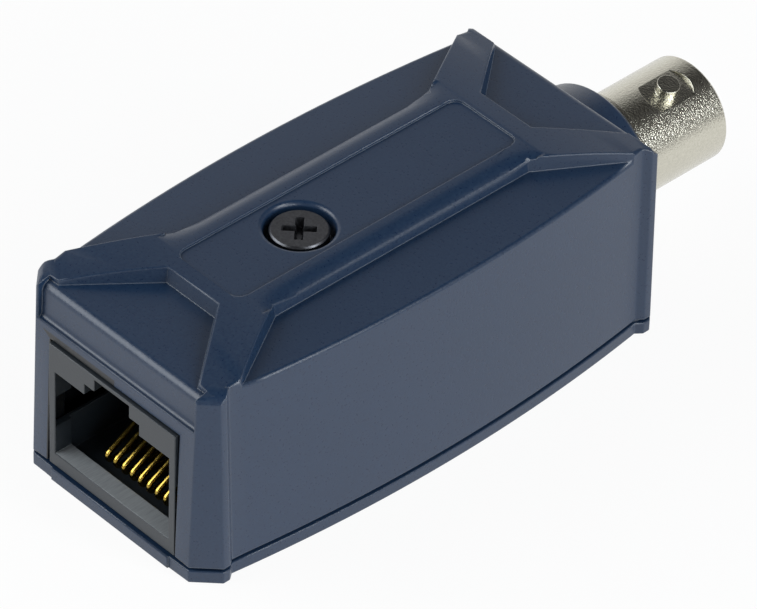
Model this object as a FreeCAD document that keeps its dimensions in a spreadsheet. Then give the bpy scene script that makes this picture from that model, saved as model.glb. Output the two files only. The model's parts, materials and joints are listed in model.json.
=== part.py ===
import FreeCAD, Part
import math
import os
import Sketcher
from FreeCAD import Placement, Rotation, Vector

# A small in-line network extender: a two-part moulded housing with a modular jack in its front end
# and a coaxial bayonet connector in its rear end. Millimetres. +Z is up, the long axis is Y and the
# jack faces -Y. The origin is under the middle of the whole part, on the surface that it stands on.

doc = FreeCAD.newDocument("ethernet_extender")
sheet = doc.addObject("Spreadsheet::Sheet", "Sizes")

# Driving dimensions, in millimetres and degrees
SIZES = {
    # housing in plan, measured at its foot
    "body_length": 52.0,
    "body_width": 25.3,
    "bow_radius": 165.0,
    "pillar_inset": 1.1,
    "pillar_chamfer": 2.0,
    "pillar_face": 0.7,
    "pillar_step_run": 0.6,
    "wall_draft": 1.8,
    "bevel_draft": 1.0,
    "wall": 1.8,
    # heights
    "base_edge": 1.2,
    "groove_height": 0.4,
    "groove_depth": 0.6,
    "board_headroom": 1.63,
    "ceiling": 1.85,
    # raised cross on the roof
    "ridge_width": 12.3,
    "ridge_side": 27.92,
    "ridge_end_width": 5.8,
    "ridge_length": 35.06,
    "arm_outer_slope": 59.5,
    "arm_inner_slope": 50.6,
    "wall_lean": 12.0,
    "roof_flat": 26.4,
    "roof_fall_radius": 48.0,
    "corner_roll_run": 1.35,
    "corner_roll_drop": 1.03,
    "corner_roll_fall": 2.2,
    "corner_roll_radius": 1.4,
    "ridge_roll_run": 1.75,
    "ridge_roll_radius": 2.47,
    "ridge_roll_length": 23.0,
    "ridge_roll_fade": 4.2,
    "edge_round": 0.15,
    "pillar_round": 0.3,
    "chamfer_round": 0.2,
    # panels beside the cross
    "side_panel_drop": 1.62,
    "side_panel_slope": 2.3,
    "end_panel_drop": 1.39,
    "end_panel_slope": 0.7,
    "lip_round": 0.8,
    # recessed strip above the jack, and a deeper one across the whole rear
    "front_strip_width": 18.9,
    "front_strip_depth": 0.5,
    "rear_strip_depth": 1.04,
    "ledge_height": 15.5,
    "ledge_fillet": 0.35,
    # label recess
    "label_width": 7.6,
    "label_length": 31.0,
    "label_middle": -0.35,
    "label_depth": 0.25,
    "label_corner": 1.0,
    # cover screw
    "screw_place": -5.8,
    "screw_shank": 3.0,
    "screw_length": 12.0,
    "screw_head": 5.0,
    "screw_head_height": 1.4,
    "screw_sink": 1.0,
    "screw_well": 6.0,
    "screw_clearance": 0.15,
    "driver_slot_length": 2.9,
    "driver_slot_width": 0.75,
    "driver_slot_depth": 0.9,
    "driver_turn": 20.0,
    "post_width": 6.2,
    # base cover
    "rim_height": 1.4,
    "rim_wall": 1.0,
    "rim_length": 38.0,
    "fit_clearance": 0.1,
    "rim_clearance": 0.15,
    "rib_width": 1.2,
    "support_x": 6.9,
    "support_y": 14.2,
    "support_width": 2.8,
    "lip_proud": 0.2,
    "lip_width": 14.3,
    "window_width": 15.6,
    "window_top": 14.25,
    # modular jack
    "jack_width": 15.3,
    "jack_length": 15.5,
    "jack_seat": 1.5,
    "jack_top": 14.15,
    "jack_setback": 0.1,
    "mouth_width": 13.9,
    "mouth_floor": 2.83,
    "mouth_top": 11.47,
    "notch_width": 6.66,
    "notch_top": 12.57,
    "key_width": 4.22,
    "key_top": 13.78,
    "collar_depth": 1.8,
    "cavity_width": 14.6,
    "cavity_floor": 1.9,
    "slot_bottom": 5.6,
    "slot_top": 8.75,
    "slot_setback": 0.15,
    "slot_length": 9.0,
    # jack contacts
    "contact_pitch": 1.016,
    "contact_wire": 0.46,
    "contact_bend": 0.5,
    "contact_front": 2.74,
    "contact_rise": 29.5,
    "contact_reach": 8.6,
    "contact_lift": 0.49,
    "contact_pin_row": 2.54,
    "carrier_length": 3.2,
    # circuit board
    "board_thickness": 1.2,
    "board_width": 17.2,
    "board_front": -23.2,
    "board_rear": 18.8,
    "pin_tail": 0.8,
    # coaxial connector
    "coax_height": 9.17,
    "coax_turn": 14.3,
    "barrel_diameter": 9.66,
    "barrel_bore": 8.12,
    "barrel_bore_depth": 5.3,
    "barrel_end": 13.45,
    "barrel_lip": 0.3,
    "flange_diameter": 11.2,
    "flange_thickness": 1.2,
    "neck_diameter": 9.4,
    "neck_length": 9.2,
    "lug_diameter": 2.0,
    "lug_span": 11.0,
    "lug_setback": 4.15,
    "lug_land": 4.8,
    "lug_land_depth": 0.27,
    "insulator_diameter": 4.8,
    "insulator_setback": 0.45,
    "socket_diameter": 2.16,
    "socket_bore": 1.36,
    "socket_bore_depth": 4.5,
    "socket_slit": 0.25,
    "socket_setback": 0.15,
    "tail_diameter": 1.1,
    "tail_length": 2.4,
    # boss that carries the coaxial connector
    "boss_reach": 2.7,
    "boss_foot": 15.1,
    "boss_rim": 14.2,
    "boss_round": 0.5,
    "seat_width": 14.2,
    "seat_face": 23.1,
    "nut_width": 12.0,
    "nut_height": 2.2,
    "washer_ring": 1.5,
    "washer_thickness": 0.5,
    "washer_notch": 1.0,
    "tag_thickness": 0.4,
    "tag_width": 2.0,
    "tag_reach": 9.1,
    "tag_turn": 75.0,
    # parts on the board
    "coil_block_width": 9.2,
    "coil_block_length": 7.4,
    "coil_block_height": 4.6,
    "coil_chamfer": 0.4,
    "coil_leg": 0.6,
    "coil_leg_pitch": 2.54,
    "coil_leg_height": 0.9,
    "coil_place": 4.6,
    "chip_length": 3.2,
    "chip_width": 1.6,
    "chip_height": 1.1,
    "chip_x": 4.4,
    "chip_y": 11.0,
    "arrester_y": 11.0,
    "arrester_height": 1.7,
    "lead_wire": 0.6,
    "lead_bend": 0.8,
    "lead_run": 1.6,
    "ground_reach": 8.1,
    "ground_run": 5.6,
}

for row, (name, value) in enumerate(SIZES.items(), 1):
    sheet.set(f"A{row}", name)
    sheet.set(f"B{row}", str(value))
    sheet.setAlias(f"B{row}", name)
doc.recompute()


class Size:
    """A number together with the formula that gives it from the sheet."""

    def __init__(self, value, formula):
        self.value = value
        self.formula = formula

    def __add__(self, other):
        return combine(self, "+", other)

    def __radd__(self, other):
        return combine(other, "+", self)

    def __sub__(self, other):
        return combine(self, "-", other)

    def __rsub__(self, other):
        return combine(other, "-", self)

    def __mul__(self, other):
        return combine(self, "*", other)

    def __rmul__(self, other):
        return combine(other, "*", self)

    def __truediv__(self, other):
        return combine(self, "/", other)

    def __neg__(self):
        return combine(0, "-", self)


OPERATIONS = {
    "+": lambda first, second: first + second,
    "-": lambda first, second: first - second,
    "*": lambda first, second: first * second,
    "/": lambda first, second: first / second,
}


def as_size(number):
    return number if isinstance(number, Size) else Size(float(number), repr(float(number)))


def combine(first, sign, second):
    first, second = as_size(first), as_size(second)
    value = OPERATIONS[sign](first.value, second.value)
    return Size(value, f"({first.formula} {sign} {second.formula})")


def root(size):
    return Size(math.sqrt(size.value), f"sqrt({size.formula})")


def tangent(size):
    return Size(math.tan(math.radians(size.value)), f"tan({size.formula} * 1 deg)")


def sine(size):
    return Size(math.sin(math.radians(size.value)), f"sin({size.formula} * 1 deg)")


def cosine(size):
    return Size(math.cos(math.radians(size.value)), f"cos({size.formula} * 1 deg)")


def of(name):
    return Size(SIZES[name], f"<<Sizes>>.{name}")


def bind(thing, path, size):
    thing.setExpression(path, as_size(size).formula)


# Helpers for bodies, sketches and features

def new_body(label):
    body = doc.addObject("PartDesign::Body", label)
    body.Label = label
    return body


def origin_plane(body, role):
    return next(item for item in body.Origin.OriginFeatures if item.Role == role)


def new_sketch(body, name, role, offset=0, tilt_axis=None, tilt=None):
    """A sketch on one of the body's own planes, moved along its normal and turned about an axis in it."""
    sketch = body.newObject("Sketcher::SketchObject", name)
    sketch.AttachmentSupport = (origin_plane(body, role), "")
    sketch.MapMode = "FlatFace"
    offset = as_size(offset)
    rotation = Rotation()
    if tilt is not None:
        rotation = Rotation(tilt_axis, as_size(tilt).value)
    sketch.AttachmentOffset = Placement(Vector(0, 0, offset.value), rotation)
    bind(sketch, "AttachmentOffset.Base.z", offset)
    if tilt is not None:
        bind(sketch, "AttachmentOffset.Rotation.Angle", tilt)
    return sketch


def hold(sketch, kind, geometry, point, size, target=-1, target_point=1):
    """One bound dimension from the sketch's origin to a point."""
    size = as_size(size)
    axis = -2 if kind == "DistanceX" else -1
    if size.formula == repr(0.0):
        sketch.addConstraint(Sketcher.Constraint("PointOnObject", geometry, point, axis))
        return
    index = sketch.addConstraint(
        Sketcher.Constraint(kind, target, target_point, geometry, point, size.value))
    sketch.setExpression(f"Constraints[{index}]", size.formula)


def hold_radius(sketch, geometry, radius):
    radius = as_size(radius)
    index = sketch.addConstraint(Sketcher.Constraint("Radius", geometry, radius.value))
    sketch.setExpression(f"Constraints[{index}]", radius.formula)


def draw_loop(sketch, corners):
    """A closed loop. A corner is (x, y), or (x, y, radius, side) where the edge after it is an arc,
    with its centre on the left (side 1) or on the right (side -1) of the way to the next corner."""
    count = len(corners)
    ends = []
    for index, corner in enumerate(corners):
        start = Vector(as_size(corner[0]).value, as_size(corner[1]).value, 0)
        after = corners[(index + 1) % count]
        end = Vector(as_size(after[0]).value, as_size(after[1]).value, 0)
        if len(corner) == 2:
            geometry = sketch.addGeometry(Part.LineSegment(start, end))
            ends.append((geometry, 1, 2))
            continue
        radius, side = as_size(corner[2]), corner[3]
        chord = end - start
        across = Vector(-chord.y, chord.x, 0).normalize() * side
        centre = (start + end) * 0.5 + across * math.sqrt(radius.value ** 2 - (chord.Length / 2) ** 2)
        first, last = (start, end) if side > 0 else (end, start)
        angles = [math.atan2(point.y - centre.y, point.x - centre.x) for point in (first, last)]
        circle = Part.Circle(centre, Vector(0, 0, 1), radius.value)
        geometry = sketch.addGeometry(Part.ArcOfCircle(circle, angles[0], angles[1]))
        hold_radius(sketch, geometry, radius)
        ends.append((geometry, 1, 2) if side > 0 else (geometry, 2, 1))
    for index, corner in enumerate(corners):
        geometry, first_end, last_end = ends[index]
        before = ends[index - 1]
        sketch.addConstraint(Sketcher.Constraint("Coincident", before[0], before[2], geometry, first_end))
        hold(sketch, "DistanceX", geometry, first_end, corner[0])
        hold(sketch, "DistanceY", geometry, first_end, corner[1])


def draw_circle(sketch, x, y, diameter):
    x, y, radius = as_size(x), as_size(y), as_size(diameter) / 2
    circle = Part.Circle(Vector(x.value, y.value, 0), Vector(0, 0, 1), radius.value)
    geometry = sketch.addGeometry(circle)
    hold_radius(sketch, geometry, radius)
    hold(sketch, "DistanceX", geometry, 3, x)
    hold(sketch, "DistanceY", geometry, 3, y)


def draw_square(sketch, x, y, side):
    draw_rectangle(sketch, x - side / 2, y - side / 2, x + side / 2, y + side / 2)


def draw_rectangle(sketch, left, bottom, right, top):
    draw_loop(sketch, [(left, bottom), (right, bottom), (right, top), (left, top)])


def extrude(body, kind, name, sketch, length, reverse=False, both=False, taper=None):
    """A Pad or a Pocket of a sketch. A pad has to add to the body and a pocket to take from it."""
    doc.recompute()
    tip = body.Tip
    before = tip.Shape.Volume if tip is not None and not tip.Shape.isNull() else 0.0
    feature = body.newObject(f"PartDesign::{kind}", name)
    feature.Profile = sketch
    feature.Length = as_size(length).value
    bind(feature, "Length", length)
    feature.Reversed = reverse
    feature.Midplane = both
    if taper is not None:
        feature.TaperAngle = as_size(taper).value
        bind(feature, "TaperAngle", taper)
    doc.recompute()
    change = feature.Shape.Volume - before
    if (change <= 0) if kind == "Pad" else (change >= 0):
        raise ValueError(f"{name} changes nothing")
    return feature


def revolve(body, kind, name, sketch, axis):
    doc.recompute()
    feature = body.newObject(f"PartDesign::{kind}", name)
    feature.Profile = sketch
    feature.ReferenceAxis = (sketch, [axis])
    feature.Angle = 360.0
    doc.recompute()
    return feature


def near(value, size, margin=0.02):
    return abs(value - as_size(size).value) < margin


def everywhere(test):
    """Picks the edges whose every sampled point passes the test."""
    def pick(edge):
        low, high = edge.ParameterRange
        return all(test(edge.valueAt(low + (high - low) * share)) for share in (0.0, 0.25, 0.5, 0.75, 1.0))
    return pick


def rising_from(x, y, level):
    """Picks the edges that rise from one place of the outline at a level, and from its mirror images."""
    def pick(edge):
        if len(edge.Vertexes) < 2:
            return False
        low, high = sorted((vertex.Point for vertex in edge.Vertexes), key=lambda point: point.z)
        return near(low.z, level) and high.z > low.z + 1 and near(abs(low.x), x) and near(abs(low.y), y)
    return pick


def dress(body, kind, name, pick, size):
    """A Fillet or a Chamfer on the edges that are picked."""
    doc.recompute()
    base = body.Tip
    names = [f"Edge{index}" for index, edge in enumerate(base.Shape.Edges, 1) if pick(edge)]
    if not names:
        raise ValueError(f"{name} finds no edge")
    feature = body.newObject(f"PartDesign::{kind}", name)
    feature.Base = (base, names)
    path = "Radius" if kind == "Fillet" else "Size"
    setattr(feature, path, as_size(size).value)
    bind(feature, path, size)
    doc.recompute()
    return feature


def set_place(thing, x=0, y=0, z=0):
    """Puts a body or a primitive at a place that follows the sheet."""
    thing.Placement = Placement(Vector(*[as_size(part).value for part in (x, y, z)]),
                                thing.Placement.Rotation)
    for letter, part in (("x", x), ("y", y), ("z", z)):
        bind(thing, f"Placement.Base.{letter}", part)


# Places that several pieces share. Y is measured from the middle of the housing here.

half_length = of("body_length") / 2
half_width = of("body_width") / 2
half_pillar = half_width - of("pillar_inset")
bow = of("bow_radius")
shell_foot = of("base_edge") + of("groove_height")
board_under = of("jack_top")
board_over = of("jack_top") + of("board_thickness")
ceiling_height = board_over + of("board_headroom")
side_panel_height = ceiling_height + of("ceiling")
roof_height = side_panel_height + of("side_panel_drop")
end_panel_height = roof_height - of("end_panel_drop")
jack_face = of("jack_setback") - half_length
boss_face = half_length + of("boss_reach")
barrel_tip = half_length + of("barrel_end")
neck_root = boss_face
shift = (half_length + of("lip_proud") - barrel_tip) / 2
screw_floor = roof_height - of("screw_sink") - of("screw_head_height")
washer_diameter = of("neck_diameter") + 2 * (of("fit_clearance") + of("washer_ring"))


# A long arc is drawn in a few equal parts
BOW_PARTS = 4


def bowed_x(y, inset):
    """How far out the bowed side lies at a place along the body, for a wall that is set in."""
    inner_radius = bow - inset
    return half_width - inset - (inner_radius - root(inner_radius * inner_radius - y * y))


def body_outline(inset, bevelled=True):
    """The housing's outline in plan: bowed sides between four pillars, with or without their bevels."""
    reach = half_length - inset
    pillar = half_pillar - inset
    chamfer = of("pillar_chamfer") - inset * (2 - root(as_size(2)))
    face_end = reach - chamfer
    face_start = face_end - of("pillar_face")
    bow_end = face_start - of("pillar_step_run")
    bow_x = bowed_x(bow_end, inset)
    corners = []
    for way in (1, -1):
        for share in range(-BOW_PARTS, BOW_PARTS):
            place = bow_end * share / BOW_PARTS
            corners.append((way * bowed_x(place, inset), way * place, bow - inset, 1))
        corners += [(way * bow_x, way * bow_end), (way * pillar, way * face_start)]
        if bevelled:
            corners += [
                (way * pillar, way * face_end),
                (way * (pillar - chamfer), way * reach),
                (-way * (pillar - chamfer), way * reach),
                (-way * pillar, way * face_end),
            ]
        else:
            corners += [(way * pillar, way * reach), (-way * pillar, way * reach)]
        corners.append((-way * pillar, way * face_start))
    return corners


# Upper shell

def roof_drop(run):
    fall = of("roof_fall_radius")
    return fall - root(fall * fall - run * run)


def make_upper_shell():
    body = new_body("upper_shell")
    top = roof_height
    clear = top + 4
    outline = new_sketch(body, "shell_outline", "XY_Plane", shell_foot)
    draw_loop(outline, body_outline(as_size(0), bevelled=False))
    extrude(body, "Pad", "shell_block", outline, top - shell_foot, taper=-of("wall_draft"))
    lean = tangent(of("wall_draft"))
    chamfer = of("pillar_chamfer")
    step_y = half_length - chamfer - of("pillar_face")
    bow_end = step_y - of("pillar_step_run")
    for name, x, y in (("pillar_step_round", half_pillar, step_y),
                       ("bow_end_round", bowed_x(bow_end, as_size(0)), bow_end)):
        dress(body, "Fillet", name, rising_from(x, y, shell_foot), of("pillar_round"))

    # each pillar is bevelled across its corner, with less draft than the walls
    corner = (half_length + half_pillar - chamfer) / root(as_size(2))

    def bevel_at(level):
        return corner - (level - shell_foot) * tangent(of("bevel_draft"))

    diagonals = ((45, "a"), (-45, "b"))
    for turn, name in diagonals:
        profile = new_sketch(body, f"bevel_profile_{name}", "XZ_Plane", 0, Vector(0, 1, 0), as_size(turn))
        for way in (1, -1):
            draw_loop(profile, [
                (way * bevel_at(shell_foot - 1), shell_foot - 1),
                (way * (corner + 4), shell_foot - 1),
                (way * (corner + 4), clear),
                (way * bevel_at(clear), clear),
            ])
        extrude(body, "Pocket", f"bevel_{name}", profile, of("body_width") * 2, both=True)
    for name, x, y in (("bevel_side_round", half_pillar, half_length - chamfer),
                       ("bevel_end_round", half_pillar - chamfer, half_length)):
        dress(body, "Fillet", name, rising_from(x, y, shell_foot), of("chamfer_round"))

    # the roof falls away along an arc towards each end
    flat = of("roof_flat") / 2
    run = half_length + 1
    for way, name in ((-1, "front"), (1, "rear")):
        profile = new_sketch(body, f"roof_profile_{name}", "YZ_Plane")
        parts = [(run - flat) * share / BOW_PARTS for share in range(BOW_PARTS)]
        draw_loop(profile, [
            (way * (flat + part), top - roof_drop(part), of("roof_fall_radius"), -way) for part in parts
        ] + [
            (way * run, top - roof_drop(run - flat)),
            (way * run, clear),
            (way * flat, clear),
        ])
        extrude(body, "Pocket", f"roof_fall_{name}", profile, of("body_width") + 2, both=True)

    # the roof rolls over each bevelled corner
    roll_top = top - of("corner_roll_drop")
    roll_foot = top - of("corner_roll_fall")
    roll_end = bevel_at(roll_foot)
    for turn, name in diagonals:
        profile = new_sketch(body, f"corner_profile_{name}", "XZ_Plane", 0, Vector(0, 1, 0), as_size(turn))
        for way in (1, -1):
            draw_loop(profile, [
                (way * (roll_end - of("corner_roll_run")), roll_top, of("corner_roll_radius"), -way),
                (way * (roll_end + 0.1), roll_foot - 0.1),
                (way * (corner + 4), roll_foot - 0.1),
                (way * (corner + 4), clear),
                (way * (roll_end - of("corner_roll_run")), clear),
            ])
        extrude(body, "Pocket", f"corner_roll_{name}", profile, of("body_width") * 2, both=True)

    # the long edges of the raised cross are rolled over, fading out at the arms
    start = of("ridge_width") / 2 - of("ridge_roll_run")
    edge = of("ridge_width") / 2 + 0.15
    width = edge - start
    radius = of("ridge_roll_radius")
    full_drop = radius - root(radius * radius - width * width)
    faint_drop = as_size(0.03)
    faint_radius = (width * width + faint_drop * faint_drop) / (2 * faint_drop)
    full = of("ridge_roll_length") / 2
    faint = full + of("ridge_roll_fade")
    for way, side in ((1, "right"), (-1, "left")):
        sections = []
        for place, drop, bend in ((-faint, faint_drop, faint_radius), (-full, full_drop, radius),
                                  (full, full_drop, radius), (faint, faint_drop, faint_radius)):
            section = new_sketch(body, f"{side}_roll_section_{len(sections) + 1}", "XZ_Plane", place)
            draw_loop(section, [
                (way * start, top, bend, -way),
                (way * edge, top - drop),
                (way * edge, clear),
                (way * start, clear),
            ])
            sections.append(section)
        roll = body.newObject("PartDesign::SubtractiveLoft", f"{side}_roll")
        roll.Profile = sections[0]
        roll.Sections = sections[1:]
        roll.Ruled = True

    # four panels are sunk beside the raised cross
    ridge_x = of("ridge_width") / 2
    ridge_y = of("ridge_side") / 2
    end_x = of("ridge_end_width") / 2
    end_y = of("ridge_length") / 2
    far_x = half_width + 3
    far_y = half_length + 3
    outer_y = ridge_y + (far_x - ridge_x) * tangent(of("arm_outer_slope"))
    outer_x = end_x + (far_y - end_y) / tangent(of("arm_inner_slope"))
    side_level = side_panel_height + half_width * tangent(of("side_panel_slope"))
    for way, name in ((1, "right"), (-1, "left")):
        panel = new_sketch(body, f"{name}_panel", "XY_Plane", side_level,
                           Vector(0, 1, 0), way * of("side_panel_slope"))
        draw_loop(panel, [
            (way * ridge_x, -ridge_y),
            (way * far_x, -outer_y),
            (way * far_x, outer_y),
            (way * ridge_x, ridge_y),
        ])
        extrude(body, "Pocket", f"{name}_panel_cut", panel, 5, reverse=True, taper=of("wall_lean"))
    for way, name in ((-1, "front"), (1, "rear")):
        panel = new_sketch(body, f"{name}_panel", "XY_Plane", end_panel_height,
                           Vector(1, 0, 0), -way * of("end_panel_slope"))
        draw_loop(panel, [
            (-end_x, way * end_y),
            (-outer_x, way * far_y),
            (outer_x, way * far_y),
            (end_x, way * end_y),
        ])
        extrude(body, "Pocket", f"{name}_panel_cut", panel, 5, reverse=True, taper=of("wall_lean"))

    # a strip is recessed across each end, from a ledge up to a rounded lip
    fall = tangent(of("end_panel_slope"))
    lip_reach = of("lip_round") * tangent((90 - of("end_panel_slope") - of("wall_draft")) / 2)
    ledge_reach = of("ledge_fillet") * tangent((90 - of("wall_draft")) / 2)
    for way, name, depth, width in ((-1, "front", of("front_strip_depth"), of("front_strip_width")),
                                    (1, "rear", of("rear_strip_depth"), of("body_width"))):
        strip_head = half_length - depth + shell_foot * lean
        lip_y = (strip_head - end_panel_height * lean) / (1 - fall * lean)
        lip_z = end_panel_height - lip_y * fall
        strip_foot = strip_head - of("ledge_height") * lean
        strip = new_sketch(body, f"{name}_strip_profile", "YZ_Plane")
        draw_loop(strip, [
            (way * (strip_foot + ledge_reach), of("ledge_height")),
            (way * far_y, of("ledge_height")),
            (way * far_y, clear),
            (way * (lip_y - lip_reach), clear),
            (way * (lip_y - lip_reach), lip_z + lip_reach * fall, of("lip_round"), -way),
            (way * (lip_y + lip_reach * lean), lip_z - lip_reach),
            (way * (strip_foot - ledge_reach * lean), of("ledge_height") + ledge_reach,
             of("ledge_fillet"), way),
        ])
        extrude(body, "Pocket", f"{name}_strip", strip, width, both=True)

    # label recess and the well of the cover screw, both left bare
    label = new_sketch(body, "label_outline", "XY_Plane", top)
    label_x = of("label_width") / 2
    label_y = of("label_length") / 2
    draw_rectangle(label, -label_x, of("label_middle") - label_y, label_x, of("label_middle") + label_y)
    extrude(body, "Pocket", "label_recess", label, of("label_depth"))
    dress(body, "Fillet", "label_corners",
          everywhere(lambda point: near(abs(point.x), label_x)
                     and near(abs(point.y - SIZES["label_middle"]), label_y)), of("label_corner"))

    # inside: cavity, jack window, screw boss
    cavity = new_sketch(body, "cavity_outline", "XY_Plane", shell_foot)
    draw_loop(cavity, body_outline(of("wall")))
    extrude(body, "Pocket", "cavity", cavity, ceiling_height - shell_foot, reverse=True,
            taper=-of("wall_draft"))
    window = new_sketch(body, "window_outline", "XZ_Plane", half_length + 1)
    draw_rectangle(window, -of("window_width") / 2, shell_foot - 1,
                   of("window_width") / 2, of("window_top"))
    extrude(body, "Pocket", "jack_window", window, of("wall") + 3)
    boss = new_sketch(body, "screw_boss_outline", "XY_Plane", board_over)
    draw_circle(boss, 0, of("screw_place"), of("post_width"))
    extrude(body, "Pad", "screw_boss", boss, ceiling_height - board_over + 0.2)
    well = new_sketch(body, "screw_well_outline", "XY_Plane", top)
    draw_circle(well, 0, of("screw_place"), of("screw_well"))
    extrude(body, "Pocket", "screw_well", well, top - screw_floor)
    hole = new_sketch(body, "screw_hole_outline", "XY_Plane", top)
    draw_circle(hole, 0, of("screw_place"), of("screw_shank") + 2 * of("screw_clearance"))
    extrude(body, "Pocket", "screw_hole", hole, top - board_over + 1)

    # rear boss that carries the coaxial connector, with a flat seat inside the wall
    inside = half_length - of("wall") - 0.4
    profile = new_sketch(body, "boss_profile", "YZ_Plane")
    rim = of("boss_rim") / 2
    draw_loop(profile, [
        (inside, of("coax_height")),
        (boss_face, of("coax_height")),
        (boss_face, of("coax_height") + rim - of("boss_round")),
        (boss_face - of("boss_round"), of("coax_height") + rim),
        (half_length - 1, of("coax_height") + of("boss_foot") / 2),
        (inside, of("coax_height") + of("boss_foot") / 2),
    ])
    axis_ends = [Vector(end.value, SIZES["coax_height"], 0) for end in (inside, boss_face)]
    axis = profile.addGeometry(Part.LineSegment(*axis_ends), True)
    profile.addConstraint(Sketcher.Constraint("Coincident", axis, 1, 0, 1))
    profile.addConstraint(Sketcher.Constraint("Coincident", axis, 2, 0, 2))
    revolve(body, "Revolution", "coax_boss", profile, "Axis0")
    seat = new_sketch(body, "seat_outline", "XZ_Plane", -of("seat_face"))
    draw_circle(seat, 0, of("coax_height"), of("seat_width"))
    extrude(body, "Pad", "coax_seat", seat, inside - of("seat_face") + 0.4, reverse=True)
    bore = new_sketch(body, "coax_bore_outline", "XZ_Plane", -boss_face - 1)
    draw_circle(bore, 0, of("coax_height"), of("neck_diameter"))
    extrude(body, "Pocket", "coax_bore", bore, boss_face + 2 - of("seat_face"), reverse=True)
    return body


# Base cover, with the screw post and the board's rear supports

def make_base_cover():
    body = new_body("base_cover")
    outline = new_sketch(body, "base_outline", "XY_Plane")
    draw_loop(outline, body_outline(as_size(0)))
    extrude(body, "Pad", "base_plate", outline, of("base_edge"))
    tongue = new_sketch(body, "tongue_outline", "XY_Plane")
    front = half_length + of("lip_proud")
    draw_rectangle(tongue, -of("lip_width") / 2, -front, of("lip_width") / 2, 2 - half_length)
    extrude(body, "Pad", "front_tongue", tongue, of("base_edge"))
    step = new_sketch(body, "step_outline", "XY_Plane", of("base_edge"))
    draw_loop(step, body_outline(of("groove_depth")))
    extrude(body, "Pad", "shell_step", step, of("groove_height"))
    room = new_sketch(body, "jack_room_outline", "XY_Plane", shell_foot)
    draw_rectangle(room, -of("window_width") / 2, -half_length,
                   of("window_width") / 2, jack_face + of("jack_length") + of("fit_clearance"))
    extrude(body, "Pocket", "jack_room", room, of("groove_height"))

    # ribs under the jack, side rims inside the shell and the upright supports
    rib_x = of("jack_width") / 2 - 2
    for way, name in ((1, "right"), (-1, "left")):
        rib = new_sketch(body, f"{name}_rib_outline", "XY_Plane", of("base_edge"))
        draw_rectangle(rib, way * rib_x - of("rib_width") / 2, jack_face + of("collar_depth"),
                       way * rib_x + of("rib_width") / 2, jack_face + of("jack_length") - 1)
        extrude(body, "Pad", f"{name}_rib", rib, of("jack_seat") - of("base_edge"))
        rim = new_sketch(body, f"{name}_rim_outline", "XY_Plane", shell_foot)
        rim_end = of("rim_length") / 2
        outer = of("wall") + of("rim_clearance")
        inner = outer + of("rim_wall")
        draw_loop(rim, [
            (way * bowed_x(rim_end, outer), -rim_end * way, bow - outer, 1),
            (way * bowed_x(rim_end, outer), rim_end * way),
            (way * bowed_x(rim_end, inner), rim_end * way, bow - inner, -1),
            (way * bowed_x(rim_end, inner), -rim_end * way),
        ])
        extrude(body, "Pad", f"{name}_rim", rim, of("rim_height"))
        post = new_sketch(body, f"{name}_support_outline", "XY_Plane", shell_foot)
        draw_circle(post, way * of("support_x"), of("support_y"), of("support_width"))
        extrude(body, "Pad", f"{name}_support", post, board_under - shell_foot)
    post = new_sketch(body, "screw_post_outline", "XY_Plane", shell_foot)
    draw_circle(post, 0, of("screw_place"), of("post_width"))
    extrude(body, "Pad", "screw_post", post, board_under - shell_foot)
    hole = new_sketch(body, "screw_pilot_outline", "XY_Plane", board_under)
    draw_circle(hole, 0, of("screw_place"), of("screw_shank"))
    extrude(body, "Pocket", "screw_pilot", hole, of("screw_length") - (screw_floor - board_under) + 1)
    return body


# Cover screw, with a cross recess in its flat head

def make_cover_screw():
    body = new_body("cover_screw")
    profile = new_sketch(body, "screw_profile", "YZ_Plane")
    head_top = of("screw_head_height")
    draw_loop(profile, [
        (0, -of("screw_length")),
        (of("screw_shank") / 2 - 0.5, -of("screw_length")),
        (of("screw_shank") / 2, 0.5 - of("screw_length")),
        (of("screw_shank") / 2, 0),
        (of("screw_head") / 2, 0),
        (of("screw_head") / 2, head_top - of("edge_round")),
        (of("screw_head") / 2 - of("edge_round"), head_top),
        (0, head_top),
    ])
    revolve(body, "Revolution", "screw_turning", profile, "V_Axis")
    for name, long_x, long_y in (("along", of("driver_slot_width"), of("driver_slot_length")),
                                 ("across", of("driver_slot_length"), of("driver_slot_width"))):
        slot = new_sketch(body, f"driver_slot_{name}", "XY_Plane", head_top)
        draw_rectangle(slot, -long_x / 2, -long_y / 2, long_x / 2, long_y / 2)
        extrude(body, "Pocket", f"driver_cut_{name}", slot, of("driver_slot_depth"), taper=-as_size(12))
    body.Placement.Rotation = Rotation(Vector(0, 0, 1), SIZES["driver_turn"])
    return body


# Circuit board above the jack, clamped between the screw boss and the screw post

def make_circuit_board():
    body = new_body("circuit_board")
    outline = new_sketch(body, "board_outline", "XY_Plane")
    board_x = of("board_width") / 2
    draw_rectangle(outline, -board_x, of("board_front"), board_x, of("board_rear"))
    extrude(body, "Pad", "board_sheet", outline, of("board_thickness"))
    holes = new_sketch(body, "board_holes", "XY_Plane", of("board_thickness"))
    draw_circle(holes, 0, of("screw_place"), of("screw_shank") + 2 * of("screw_clearance"))
    for number in range(8):
        draw_square(holes, contact_x(number), contact_row(number), of("contact_wire") + 0.3)
    draw_square(holes, as_size(0), lead_y, of("lead_wire") + 0.3)
    draw_square(holes, -ground_x, ground_y, of("lead_wire") + 0.3)
    extrude(body, "Pocket", "board_drilling", holes, of("board_thickness") + 1)
    return body


def contact_x(number):
    return (number - 3.5) * of("contact_pitch")


def contact_row(number):
    """The two staggered rows of pins where the jack's contacts reach the board."""
    return contact_back - (number % 2) * of("contact_pin_row") / 2


# Jack housing: one moulding with a keyed mouth, open side slots and an open back

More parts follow.
